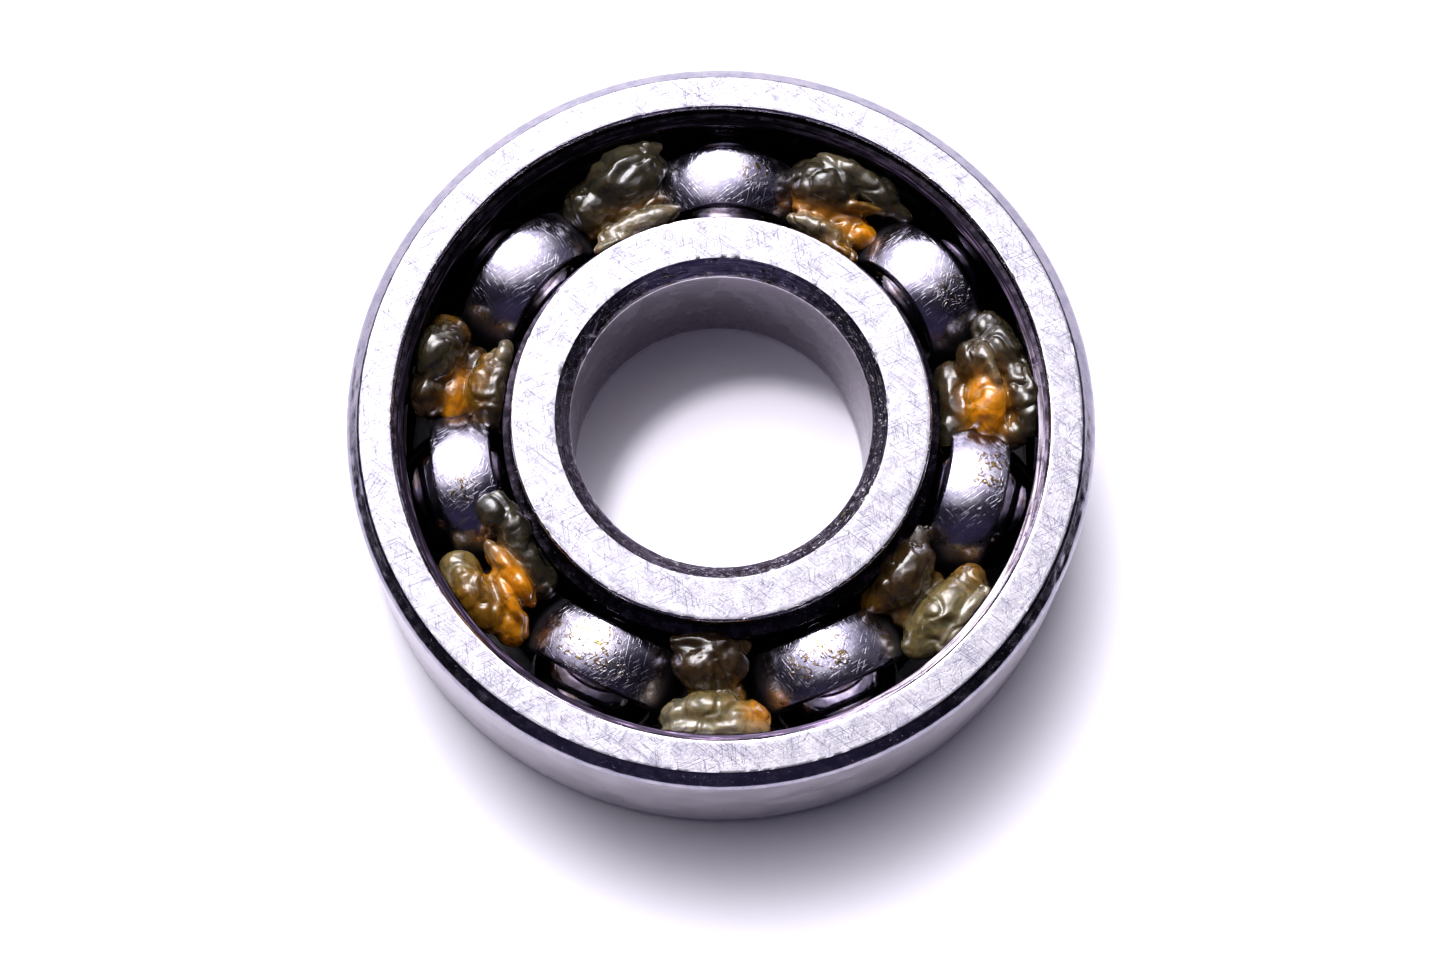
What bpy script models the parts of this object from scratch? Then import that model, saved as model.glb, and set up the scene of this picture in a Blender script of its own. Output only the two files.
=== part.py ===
"""Open deep-groove ball bearing, 25 mm bore, 62 mm outside diameter, 17 mm wide.

Two turned rings, seven balls, a pressed ribbon cage in two halves held together by rivets, and
a pack of grease on each web of the cage. The origin is the bearing's centre and +Z is its axis.
Lengths are in millimetres until a mesh or a location is made.
"""

import math

import bmesh
import bpy
from mathutils import Vector

MM = 0.001

# Boundary dimensions
OUTSIDE_R = 31.0
BORE_R = 12.5
WIDTH = 17.0
FACE_Z = WIDTH / 2

# Rolling set
BALLS = 7
BALL_R = 5.75
PITCH_R = 21.75
FIRST_BALL_DEG = 39.4
BALL_STEP_DEG = 360 / BALLS
CONFORMITY = 0.52  # raceway radius over ball diameter
RACEWAY_R = CONFORMITY * 2 * BALL_R
FIT_GAP = 0.25  # clearance kept between neighbouring pieces

# Outer ring
OUTER_CORNER = 1.1
OUTER_FACE_INNER_R = 27.2
EDGE_BREAK = 0.15
SEAL_LIP_DEPTH = 0.8
SEAL_GROOVE_R = 27.9
SEAL_GROOVE_TOP = 1.2
SEAL_GROOVE_BOTTOM = 1.7
OUTER_SHOULDER_R = 26.3
OUTER_SHOULDER_TOP = 2.0

# Inner ring
BORE_CHAMFER = 1.3
INNER_FACE_OUTER_R = 17.25
INNER_STEP_BOTTOM = 2.4
INNER_SHOULDER_R = 18.2
INNER_SHOULDER_TOP = 2.7

# Cage
CAGE_INNER_R = 19.2
CAGE_OUTER_R = 24.3
CAGE_SHEET = 0.9
HALF_GAP = 0.15  # from the middle plane to each half, so the halves are twice this apart
POCKET_R = BALL_R + FIT_GAP
WEB_TOP = HALF_GAP + CAGE_SHEET

# Rivets
SHANK_R = 0.75
RIVET_HOLE_R = SHANK_R + FIT_GAP
HEAD_R = 1.65
HEAD_RISE = 0.8
HEAD_SEAT_Z = WEB_TOP + FIT_GAP

# Grease packs, which sit on the webs and between the two rings
GREASE_GAP = 0.35
GREASE_BOTTOM = HEAD_SEAT_Z + HEAD_RISE + GREASE_GAP
GREASE_TOP = FACE_Z - 1.0
GREASE_MAX_HALF_DEG = 15.0
GREASE_SQUARENESS = 0.55
GREASE_LEVELS = 6
GREASE_SIDES = 14

# Facets
RING_FACETS = 52
RACEWAY_FACETS = 8
CORNER_FACETS = 2
POCKET_FACETS = 10
CAGE_STRIPS = 2
RIVET_FACETS = 10
SMOOTH_ANGLE = math.radians(35)


def clear_scene():
    """Removes every object, so the script builds into an empty scene."""
    for item in list(bpy.data.objects):
        bpy.data.objects.remove(item, do_unlink=True)


def make_material(name, colour, roughness, metallic):
    material = bpy.data.materials.new(name)
    material.use_nodes = True
    shader = material.node_tree.nodes["Principled BSDF"]
    shader.inputs["Base Color"].default_value = (*colour, 1.0)
    shader.inputs["Roughness"].default_value = roughness
    shader.inputs["Metallic"].default_value = metallic
    material.diffuse_color = (*colour, 1.0)
    return material


def add_object(name, mesh_edit, material, centre=(0, 0, 0), parent=None):
    """Turns a bmesh in metres into a smooth-shaded object at a centre in millimetres."""
    bmesh.ops.recalc_face_normals(mesh_edit, faces=mesh_edit.faces[:])
    mesh = bpy.data.meshes.new(name)
    mesh_edit.to_mesh(mesh)
    mesh_edit.free()
    mesh.materials.append(material)
    mesh.shade_smooth()
    mesh.set_sharp_from_angle(angle=SMOOTH_ANGLE)
    made = bpy.data.objects.new(name, mesh)
    made.location = Vector(centre) * MM
    made.parent = parent
    bpy.context.collection.objects.link(made)
    return made


def add_axis(name, parent=None):
    axis = bpy.data.objects.new(name, None)
    axis.parent = parent
    bpy.context.collection.objects.link(axis)
    return axis


def on_circle(radius, degrees):
    angle = math.radians(degrees)
    return Vector((radius * math.cos(angle), radius * math.sin(angle), 0))


def arc(centre_r, centre_z, radius, start_deg, end_deg, facets):
    """Points (r, z) along an arc, both ends included."""
    points = []
    for step in range(facets + 1):
        angle = math.radians(start_deg + (end_deg - start_deg) * step / facets)
        points.append((centre_r + radius * math.cos(angle), centre_z + radius * math.sin(angle)))
    return points


def turned(name, outline, closed, facets, material, parent=None, centre=(0, 0, 0)):
    """Spins an outline of (r, z) points once round Z. An open outline has both ends on the axis."""
    edit = bmesh.new()
    corners = [edit.verts.new((r * MM, 0, z * MM)) for r, z in outline]
    edges = [edit.edges.new(pair) for pair in zip(corners, corners[1:])]
    if closed:
        edges.append(edit.edges.new((corners[-1], corners[0])))
    bmesh.ops.spin(
        edit,
        geom=corners + edges,
        cent=(0, 0, 0),
        axis=(0, 0, 1),
        angle=2 * math.pi,
        steps=facets,
    )
    bmesh.ops.remove_doubles(edit, verts=edit.verts[:], dist=0.001 * MM)
    return add_object(name, edit, material, centre, parent)


def mirrored_outline(upper):
    """An upper half outline and its mirror image below the middle plane, as one loop."""
    return upper + [(r, -z) for r, z in reversed(upper) if z > 0]


def raceway_half(centre_r, shoulder_r, side):
    """The upper half of a raceway, from its shoulder to its bottom. side is +1 on the outer ring."""
    reach = math.sqrt(RACEWAY_R**2 - (shoulder_r - centre_r) ** 2)
    start = math.degrees(math.atan2(reach, shoulder_r - centre_r))
    end = 0 if side > 0 else 180
    half = arc(centre_r, 0, RACEWAY_R, start, end, RACEWAY_FACETS // 2)
    half[-1] = (half[-1][0], 0)
    return half


def outer_ring_outline():
    corner_r = OUTSIDE_R - OUTER_CORNER
    corner_z = FACE_Z - OUTER_CORNER
    raceway_centre = PITCH_R + BALL_R + FIT_GAP - RACEWAY_R
    upper = arc(corner_r, corner_z, OUTER_CORNER, 0, 90, CORNER_FACETS)
    upper += [
        (OUTER_FACE_INNER_R, FACE_Z),
        (OUTER_FACE_INNER_R - EDGE_BREAK, FACE_Z - EDGE_BREAK),
        (OUTER_FACE_INNER_R - EDGE_BREAK, FACE_Z - SEAL_LIP_DEPTH),
        (SEAL_GROOVE_R, FACE_Z - SEAL_GROOVE_TOP),
        (SEAL_GROOVE_R, FACE_Z - SEAL_GROOVE_BOTTOM),
        (OUTER_SHOULDER_R, FACE_Z - OUTER_SHOULDER_TOP),
    ]
    upper += raceway_half(raceway_centre, OUTER_SHOULDER_R, 1)
    return mirrored_outline(upper)


def inner_ring_outline():
    raceway_centre = PITCH_R - BALL_R - FIT_GAP + RACEWAY_R
    upper = [
        (BORE_R, FACE_Z - BORE_CHAMFER),
        (BORE_R + BORE_CHAMFER, FACE_Z),
        (INNER_FACE_OUTER_R, FACE_Z),
        (INNER_FACE_OUTER_R + EDGE_BREAK, FACE_Z - EDGE_BREAK),
        (INNER_FACE_OUTER_R + EDGE_BREAK, FACE_Z - INNER_STEP_BOTTOM),
        (INNER_SHOULDER_R, FACE_Z - INNER_SHOULDER_TOP),
    ]
    upper += raceway_half(raceway_centre, INNER_SHOULDER_R, -1)
    return mirrored_outline(upper)


def pocket_half_angle(radius, reach):
    """Half the angle, in radians, that a ball-centred circle of a given reach covers at a radius."""
    cosine = (radius**2 + PITCH_R**2 - reach**2) / (2 * radius * PITCH_R)
    return math.acos(max(-1.0, min(1.0, cosine)))


def pocket_path(radius, shell_r, web_z):
    """Angle and height of a pocket's shell along one radius, from web to web."""
    widest = pocket_half_angle(radius, shell_r)
    foot = pocket_half_angle(radius, math.sqrt(shell_r**2 - web_z**2))
    turn = math.asin(foot / widest)
    path = []
    for step in range(POCKET_FACETS + 1):
        angle = widest * math.sin(turn * (2 * step / POCKET_FACETS - 1))
        across = radius**2 + PITCH_R**2 - 2 * radius * PITCH_R * math.cos(angle)
        path.append((angle, math.sqrt(shell_r**2 - across)))
    return path


def cage_skin(edit, shell_r, web_z, side):
    """One face of the sheet: rows of points round the cage, one row for each radius."""
    rows = []
    for strip in range(CAGE_STRIPS + 1):
        radius = CAGE_INNER_R + (CAGE_OUTER_R - CAGE_INNER_R) * strip / CAGE_STRIPS
        row = []
        for ball in range(BALLS):
            middle = math.radians(FIRST_BALL_DEG + ball * BALL_STEP_DEG)
            for angle, height in pocket_path(radius, shell_r, web_z):
                place = on_circle(radius, math.degrees(middle + angle))
                row.append(edit.verts.new((place.x * MM, place.y * MM, side * height * MM)))
        rows.append(row)
    return rows


def cage_half(name, side, material, holes, parent):
    """A pressed half: spherical pockets over the balls, joined by flat webs with a rivet hole each."""
    edit = bmesh.new()
    outside = cage_skin(edit, POCKET_R + CAGE_SHEET, WEB_TOP, side)
    inside = cage_skin(edit, POCKET_R, HALF_GAP, side)
    loop = outside + inside[::-1]
    for row, following in zip(loop, loop[1:] + loop[:1]):
        for place in range(len(row)):
            after = (place + 1) % len(row)
            edit.faces.new((row[place], row[after], following[after], following[place]))
    half = add_object(name, edit, material, parent=parent)
    cut = half.modifiers.new("rivet_holes", "BOOLEAN")
    cut.operation = "DIFFERENCE"
    cut.object = holes
    return half


def web_degrees(web):
    """Angle of the middle of a web, halfway between two balls."""
    return FIRST_BALL_DEG + (web + 0.5) * BALL_STEP_DEG


def rivet_hole_cutter(material, parent):
    edit = bmesh.new()
    for web in range(BALLS):
        made = bmesh.ops.create_cone(
            edit,
            cap_ends=True,
            segments=RIVET_FACETS,
            radius1=RIVET_HOLE_R * MM,
            radius2=RIVET_HOLE_R * MM,
            depth=4 * WEB_TOP * MM,
        )
        place = on_circle(PITCH_R, web_degrees(web)) * MM
        bmesh.ops.translate(edit, verts=made["verts"], vec=place)
    cutter = add_object("rivet_hole_cutter", edit, material, parent=parent)
    cutter.hide_render = True
    cutter.display_type = "WIRE"
    return cutter


def rivet_outline():
    """A shank with the same low domed head at each end."""
    top = HEAD_SEAT_Z + HEAD_RISE
    upper = [
        (0, top),
        (HEAD_R * 0.6, top - HEAD_RISE * 0.2),
        (HEAD_R, top - HEAD_RISE * 0.7),
        (HEAD_R, HEAD_SEAT_Z),
        (SHANK_R, HEAD_SEAT_Z),
    ]
    return upper + [(r, -z) for r, z in reversed(upper)]


def ball(name, centre, material, parent):
    edit = bmesh.new()
    bmesh.ops.create_icosphere(edit, subdivisions=3, radius=BALL_R * MM)
    return add_object(name, edit, material, centre, parent)


def grease_section(height):
    """A rounded section of a pack at one height, as (radius, degrees from the web's middle)."""
    above_step = height > FACE_Z - INNER_STEP_BOTTOM + GREASE_GAP
    step_r = INNER_FACE_OUTER_R + EDGE_BREAK if above_step else INNER_SHOULDER_R
    innermost = step_r + GREASE_GAP
    outermost = OUTER_SHOULDER_R - GREASE_GAP
    middle = (innermost + outermost) / 2
    half_width = (outermost - innermost) / 2
    shell = POCKET_R + CAGE_SHEET + GREASE_GAP
    section = []
    for side in range(GREASE_SIDES):
        turn = 2 * math.pi * side / GREASE_SIDES
        across = math.copysign(abs(math.cos(turn)) ** GREASE_SQUARENESS, math.cos(turn))
        along = math.copysign(abs(math.sin(turn)) ** GREASE_SQUARENESS, math.sin(turn))
        radius = middle + half_width * across
        room = GREASE_MAX_HALF_DEG
        if height < shell:
            reach = math.sqrt(shell**2 - height**2)
            taken = math.degrees(pocket_half_angle(radius, reach))
            room = min(room, BALL_STEP_DEG / 2 - taken)
        section.append((radius, room * along))
    return section


def grease_pack(name, web, material, parent):
    """A plain closed solid of the grease on one web, widening upwards between two pockets."""
    edit = bmesh.new()
    rings = []
    for level in range(GREASE_LEVELS):
        height = GREASE_BOTTOM + (GREASE_TOP - GREASE_BOTTOM) * level / (GREASE_LEVELS - 1)
        ring = []
        for radius, degrees in grease_section(height):
            place = on_circle(radius, web_degrees(web) + degrees)
            ring.append(edit.verts.new((place.x * MM, place.y * MM, height * MM)))
        rings.append(ring)
    for lower, upper in zip(rings, rings[1:]):
        for side in range(GREASE_SIDES):
            after = (side + 1) % GREASE_SIDES
            edit.faces.new((lower[side], lower[after], upper[after], upper[side]))
    edit.faces.new(rings[0])
    edit.faces.new(rings[-1])
    return add_object(name, edit, material, parent=parent)


def build():
    clear_scene()
    ring_steel = make_material("ring_steel", (0.62, 0.60, 0.64), 0.35, 1.0)
    ball_steel = make_material("ball_steel", (0.72, 0.71, 0.74), 0.08, 1.0)
    cage_steel = make_material("cage_steel", (0.55, 0.53, 0.58), 0.25, 1.0)
    rivet_steel = make_material("rivet_steel", (0.50, 0.49, 0.52), 0.30, 1.0)
    grease = make_material("grease", (0.62, 0.50, 0.12), 0.15, 0.0)

    bearing_axis = add_axis("bearing_axis")
    cage_axis = add_axis("cage_axis", bearing_axis)

    outer = outer_ring_outline()
    inner = inner_ring_outline()
    turned("outer_ring", outer, True, RING_FACETS, ring_steel, bearing_axis)
    turned("inner_ring", inner, True, RING_FACETS, ring_steel, bearing_axis)

    holes = rivet_hole_cutter(cage_steel, cage_axis)
    cage_half("cage_upper", 1, cage_steel, holes, cage_axis)
    cage_half("cage_lower", -1, cage_steel, holes, cage_axis)

    rivet = rivet_outline()
    for number in range(BALLS):
        place = on_circle(PITCH_R, FIRST_BALL_DEG + number * BALL_STEP_DEG)
        ball(f"ball_{number + 1}", place, ball_steel, cage_axis)
        seat = on_circle(PITCH_R, web_degrees(number))
        name = f"rivet_{number + 1}"
        turned(name, rivet, False, RIVET_FACETS, rivet_steel, cage_axis, seat)
        grease_pack(f"grease_{number + 1}", number, grease, cage_axis)


build()
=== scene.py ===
import math

import bmesh
import bpy
import numpy as np
from mathutils import Matrix, Vector, noise


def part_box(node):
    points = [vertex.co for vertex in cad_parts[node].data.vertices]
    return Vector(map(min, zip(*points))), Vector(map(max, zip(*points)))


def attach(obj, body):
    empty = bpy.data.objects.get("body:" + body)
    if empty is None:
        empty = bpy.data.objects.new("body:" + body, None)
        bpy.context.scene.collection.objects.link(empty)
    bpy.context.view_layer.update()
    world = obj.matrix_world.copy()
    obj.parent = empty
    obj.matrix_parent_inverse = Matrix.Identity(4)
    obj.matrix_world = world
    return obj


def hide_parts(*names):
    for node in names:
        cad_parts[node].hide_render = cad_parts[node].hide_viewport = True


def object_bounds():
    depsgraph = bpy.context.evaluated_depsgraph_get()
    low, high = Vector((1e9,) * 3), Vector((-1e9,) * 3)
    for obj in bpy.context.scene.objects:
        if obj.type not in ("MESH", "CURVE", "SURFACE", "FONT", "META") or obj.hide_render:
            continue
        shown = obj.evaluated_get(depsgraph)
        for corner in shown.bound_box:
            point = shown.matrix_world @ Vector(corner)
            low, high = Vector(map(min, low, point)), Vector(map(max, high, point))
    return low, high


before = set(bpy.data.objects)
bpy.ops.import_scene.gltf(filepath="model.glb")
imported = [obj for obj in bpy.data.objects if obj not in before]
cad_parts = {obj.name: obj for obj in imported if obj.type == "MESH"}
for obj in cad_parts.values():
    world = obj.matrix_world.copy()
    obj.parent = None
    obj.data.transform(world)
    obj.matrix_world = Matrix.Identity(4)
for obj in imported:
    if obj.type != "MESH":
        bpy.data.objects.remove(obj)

# The looks of an open ball bearing: turned and ground rings, polished balls, a pressed cage with
# its rivets, and soft amber grease on the webs. Shapes are worked out in millimetres in the
# bearing's frame, with +Z along its axis, and are scaled to metres when a mesh is made.

MM = 0.001
CAD_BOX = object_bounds()

# The offsets that noise_vector adds come from this seed
noise.seed_set(5)


def middle_of(node):
    """The middle of a node's box, in millimetres."""
    low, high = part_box(node)
    return (Vector(low) + Vector(high)) / 2 / MM


# Sizes that the frame gives
FACE_Z = CAD_BOX[1][2] / MM
OUTSIDE_R = CAD_BOX[1][0] / MM
BALLS = sum(name.startswith("ball_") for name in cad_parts)
BALL_CENTRES = [middle_of(f"ball_{number + 1}") for number in range(BALLS)]
BALL_R = (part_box("ball_1")[1][2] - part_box("ball_1")[0][2]) / 2 / MM
PITCH_R = BALL_CENTRES[0].length
FIRST_BALL = math.atan2(BALL_CENTRES[0].y, BALL_CENTRES[0].x)
BALL_STEP = 2 * math.pi / BALLS

# Ring sections
BORE_R = 12.5
OUTER_CORNER = 1.2
OUTER_FACE_INNER_R = 27.2
SEAL_LIP_R = 27.05
SEAL_GROOVE_R = 27.85
OUTER_SHOULDER_R = 26.3
OUTER_RACEWAY_BOTTOM = PITCH_R + BALL_R + 0.05
BORE_CHAMFER = 1.25
INNER_FACE_OUTER_R = 17.3
INNER_STEP_R = 17.4
INNER_SHOULDER_R = 18.2
INNER_RACEWAY_BOTTOM = PITCH_R - BALL_R - 0.05
RACEWAY_R = 0.52 * 2 * BALL_R
RING_STEPS = 540

# Cage: a sheet of one thickness, with a fillet between each pocket and its webs
CAGE_INNER_R = 19.2
CAGE_OUTER_R = 24.3
CAGE_SHEET = 0.9
CAGE_HALF_GAP = 0.02
CAGE_MIDDLE_R = BALL_R + 0.25 + CAGE_SHEET / 2
CAGE_FILLET = 1.1
CAGE_EDGE = 0.22
CAGE_WAVE = 0.10

# Grease, kept clear of everything that moves past it
GREASE_CLEAR = 0.06
GREASE_BALL_CLEAR = 0.45
GREASE_BELOW_FACE = 0.25
VOXEL = 0.13
SOFTENING = 30
LUMP_GROW = 1.12


# ---------------------------------------------------------------- meshes


def add_piece(name, verts, faces, materials, zones=None, sharp=math.radians(32)):
    """Makes an object from points in millimetres. zones gives each face its material."""
    mesh = bpy.data.meshes.new(name)
    mesh.from_pydata((np.asarray(verts) * MM).tolist(), [], faces)
    for material in materials:
        mesh.materials.append(material)
    if zones is not None:
        mesh.polygons.foreach_set("material_index", np.asarray(zones, dtype=np.int32))
    mesh.update()
    mesh.shade_smooth()
    mesh.set_sharp_from_angle(angle=sharp)
    piece = bpy.data.objects.new(name, mesh)
    bpy.context.collection.objects.link(piece)
    return piece


def settle(piece, body, nodes):
    """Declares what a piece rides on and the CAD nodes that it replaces."""
    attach(piece, body)
    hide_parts(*nodes)


class Outline:
    """A turned section: points (r, z), each with the zone of the strip that follows it and with
    how worn it is, from 0 to 1.
    """

    def __init__(self):
        self.points = []
        self.zones = []
        self.wear = []

    def add(self, point, zone, wear=0.0):
        self.points.append(point)
        self.zones.append(zone)
        self.wear.append(wear)

    def line(self, start, end, steps, zone, wear=0.0):
        for step in range(steps):
            share = step / steps
            r = start[0] + (end[0] - start[0]) * share
            z = start[1] + (end[1] - start[1]) * share
            self.add((r, z), zone, wear)

    def arc(self, centre, radius, start_deg, end_deg, steps, zone, wear=0.0):
        for step in range(steps):
            angle = math.radians(start_deg + (end_deg - start_deg) * step / steps)
            point = (centre[0] + radius * math.cos(angle), centre[1] + radius * math.sin(angle))
            self.add(point, zone, wear)

    def with_mirror(self):
        """The upper half, from one middle point to the other, joined to its mirror image."""
        both = Outline()
        both.points = self.points + [(r, -z) for r, z in self.points[-2:0:-1]]
        both.zones = self.zones[:-1] + self.zones[-2::-1]
        both.wear = self.wear + self.wear[-2:0:-1]
        return both


def chips(points, seed):
    """How deep small chips and dents go at each point, from 0 to 1."""
    shift = Vector((seed * 17.3, seed * 5.1, seed * 9.7))
    depth = np.empty(len(points))
    for index, point in enumerate(points):
        place = Vector(point)
        fine = noise.noise(place * 1.9 + shift)
        broad = noise.noise(place * 0.45 - shift)
        depth[index] = max(0.0, fine + 0.55 * broad - 0.18)
    return depth


def lathe(name, outline, materials, chip_depth, seed):
    """Turns a closed outline round Z, with chips cut where the outline is marked as worn."""
    steps = RING_STEPS
    section = np.array(outline.points)
    wear = np.array(outline.wear)
    count = len(section)
    ahead = np.roll(section, -1, 0)
    behind = np.roll(section, 1, 0)
    along = ahead - behind
    inward = np.stack([-along[:, 1], along[:, 0]], 1)
    inward /= np.maximum(np.linalg.norm(inward, axis=1, keepdims=True), 1e-9)
    turns = np.arange(steps) * 2 * math.pi / steps
    cosines = np.cos(turns)[None, :]
    sines = np.sin(turns)[None, :]
    radius = np.repeat(section[:, :1], steps, 1)
    height = np.repeat(section[:, 1:], steps, 1)
    worn = np.nonzero(wear > 0)[0]
    grid = np.stack([radius[worn] * cosines, radius[worn] * sines, height[worn]], -1)
    depth = chips(grid.reshape(-1, 3), seed).reshape(len(worn), steps)
    depth = depth * chip_depth * wear[worn][:, None]
    radius[worn] += inward[worn, :1] * depth
    height[worn] += inward[worn, 1:] * depth
    verts = np.stack([radius * cosines, radius * sines, height], -1).reshape(-1, 3)
    rows = np.arange(count)[:, None]
    columns = np.arange(steps)[None, :]
    next_rows = (rows + 1) % count
    next_columns = (columns + 1) % steps
    corners = [
        rows * steps + columns,
        rows * steps + next_columns,
        next_rows * steps + next_columns,
        next_rows * steps + columns,
    ]
    faces = np.stack([np.broadcast_to(c, (count, steps)) for c in corners], -1).reshape(-1, 4)
    zones = np.repeat(np.array(outline.zones), steps)
    return add_piece(name, verts, faces.tolist(), materials, zones)


# ---------------------------------------------------------------- materials


class Nodes:
    """Short ways to add nodes to a tree and to join them."""

    def __init__(self, tree):
        self.tree = tree

    def new(self, kind):
        return self.tree.nodes.new("ShaderNode" + kind)

    def link(self, source, target):
        self.tree.links.new(source, target)

    def fill(self, target, source):
        """Sets an input from a socket or from a plain value."""
        if isinstance(source, bpy.types.NodeSocket):
            self.link(source, target)
        else:
            target.default_value = source

    def vector(self, operation, first, second):
        node = self.new("VectorMath")
        node.operation = operation
        self.fill(node.inputs[0], first)
        self.fill(node.inputs[1], second)
        return node.outputs["Value" if operation in ("LENGTH", "DISTANCE", "DOT_PRODUCT") else "Vector"]

    def maths(self, operation, first, second=0.0):
        node = self.new("Math")
        node.operation = operation
        self.fill(node.inputs[0], first)
        self.fill(node.inputs[1], second)
        return node.outputs[0]

    def spread(self, source, low, high, to_low=0.0, to_high=1.0):
        """Eases from to_low, where the source is at low, to to_high, where it is at high."""
        node = self.new("MapRange")
        node.interpolation_type = "SMOOTHSTEP"
        self.link(source, node.inputs["Value"])
        ends = {"From Min": low, "From Max": high, "To Min": to_low, "To Max": to_high}
        for socket, value in ends.items():
            node.inputs[socket].default_value = value
        return node.outputs["Result"]

    def mix(self, share, first, second, blend="MIX"):
        """Blends two colours, each a socket or plain red, green and blue."""
        node = self.new("Mix")
        node.data_type = "RGBA"
        node.blend_type = blend
        self.fill(node.inputs["Factor"], share)
        for socket, colour in (("A", first), ("B", second)):
            plain = not isinstance(colour, bpy.types.NodeSocket)
            self.fill(node.inputs[socket], (*colour, 1.0) if plain else colour)
        return node.outputs["Result"]


class Shader(Nodes):
    """A Principled material whose patterns read the piece's own coordinates, in millimetres."""

    def __init__(self, name, colour, roughness, metallic):
        self.material = bpy.data.materials.new(name)
        self.material.use_nodes = True
        super().__init__(self.material.node_tree)
        self.principled = self.tree.nodes["Principled BSDF"]
        self.value("Base Color", (*colour, 1.0))
        self.value("Roughness", roughness)
        self.value("Metallic", metallic)
        self.material.diffuse_color = (*colour, 1.0)
        place = self.new("TexCoord").outputs["Object"]
        self.mm = self.vector("MULTIPLY", place, (1 / MM, 1 / MM, 1 / MM))

    def value(self, socket, value):
        self.principled.inputs[socket].default_value = value

    def into(self, source, socket):
        self.link(source, self.principled.inputs[socket])

    def noise(self, scale, detail=2.0, rough=0.5, place=None, distortion=0.0):
        node = self.new("TexNoise")
        node.inputs["Scale"].default_value = scale
        node.inputs["Detail"].default_value = detail
        node.inputs["Roughness"].default_value = rough
        node.inputs["Distortion"].default_value = distortion
        self.link(place or self.mm, node.inputs["Vector"])
        return node.outputs["Fac"]

    def cell_distance(self, scale):
        """The distance to the nearest of many scattered points."""
        node = self.new("TexVoronoi")
        node.inputs["Scale"].default_value = scale
        self.link(self.mm, node.inputs["Vector"])
        return node.outputs["Distance"]

    def bump(self, height, distance_mm, strength):
        node = self.new("Bump")
        node.inputs["Strength"].default_value = strength
        node.inputs["Distance"].default_value = distance_mm * MM
        self.link(height, node.inputs["Height"])
        return node.outputs["Normal"]

    def axes(self):
        """The piece's own X, Y and Z, in millimetres."""
        split = self.new("SeparateXYZ")
        self.link(self.mm, split.inputs[0])
        return split.outputs

    def radius(self):
        """Distance from the bearing's axis, in millimetres."""
        flat = self.vector("MULTIPLY", self.mm, (1, 1, 0))
        return self.vector("LENGTH", flat, (0, 0, 0))

    def sector(self, degrees, half_deg, soft_deg):
        """1 near a direction from the axis and 0 away from it."""
        turn = math.radians(degrees)
        aim = self.vector("DOT_PRODUCT", self.mm, (math.cos(turn), math.sin(turn), 0))
        facing = self.maths("DIVIDE", aim, self.radius())
        start = math.cos(math.radians(half_deg + soft_deg))
        return self.spread(facing, start, math.cos(math.radians(half_deg)))

    def stretched(self, degrees, along, across):
        """Coordinates turned about Z, then divided by a length along and across, for marks."""
        node = self.new("Mapping")
        node.vector_type = "TEXTURE"
        node.inputs["Rotation"].default_value = (0, 0, math.radians(degrees))
        node.inputs["Scale"].default_value = (along, across, 1)
        self.link(self.mm, node.inputs["Vector"])
        return node.outputs[0]

    def scratches(self, degrees, length, width, cover):
        """Thin straight marks: 1 on a mark and 0 beside it. cover is the share of marks kept."""
        lines = self.noise(1.0, 1.0, 0.4, self.stretched(degrees, length, width))
        marks = self.spread(lines, 0.62, 0.70)
        patches = self.noise(0.5, 2.0, 0.5, self.stretched(degrees + 20, 1, 1))
        kept = self.spread(patches, 1 - cover, 1.05 - cover)
        return self.maths("MULTIPLY", marks, kept)

    def round_marks(self, across, length_deg):
        """Coordinates for marks that run round the axis: across in millimetres, then along."""
        axes = self.axes()
        turn = self.maths("ARCTAN2", axes["Y"], axes["X"])
        join = self.new("CombineXYZ")
        self.link(self.maths("MULTIPLY", self.radius(), 1 / across), join.inputs["X"])
        self.link(self.maths("MULTIPLY", turn, math.degrees(1) / length_deg), join.inputs["Y"])
        self.link(self.maths("MULTIPLY", axes["Z"], 1 / across), join.inputs["Z"])
        return join.outputs[0]


def ground_face():
    """The flat ground faces: speckled grain, faint wheel rings and fine stray scratches."""
    s = Shader("ring_face", (0.34, 0.32, 0.36), 0.38, 1.0)
    grain = s.noise(5.5, 3.0, 0.75)
    blotch = s.noise(0.7, 3.0, 0.6)
    rings = s.noise(7.0, 2.0, 0.5, s.radius())
    marks = s.maths("ADD", s.scratches(25, 2.6, 0.07, 0.60), s.scratches(100, 2.2, 0.06, 0.5))
    marks = s.maths("ADD", marks, s.scratches(-35, 3.2, 0.07, 0.6))
    marks = s.maths("ADD", marks, s.scratches(62, 2.8, 0.06, 0.5))
    tone = s.mix(s.spread(blotch, 0.35, 0.65), (0.385, 0.375, 0.395), (0.30, 0.29, 0.32))
    tone = s.mix(s.spread(grain, 0.54, 0.68, 0.0, 0.7), tone, (0.14, 0.13, 0.19))
    tone = s.mix(s.spread(grain, 0.44, 0.32, 0.0, 0.6), tone, (0.60, 0.58, 0.62))
    tone = s.mix(s.maths("MULTIPLY", marks, 0.6), tone, (0.16, 0.15, 0.21))
    s.into(tone, "Base Color")
    s.into(s.spread(blotch, 0.3, 0.7, 0.34, 0.42), "Roughness")
    relief = s.maths("ADD", s.maths("MULTIPLY", grain, 0.6), s.maths("MULTIPLY", rings, 0.5))
    relief = s.maths("SUBTRACT", relief, s.maths("MULTIPLY", marks, 0.6))
    s.into(s.bump(relief, 0.012, 0.8), "Normal")
    return s.material


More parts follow.
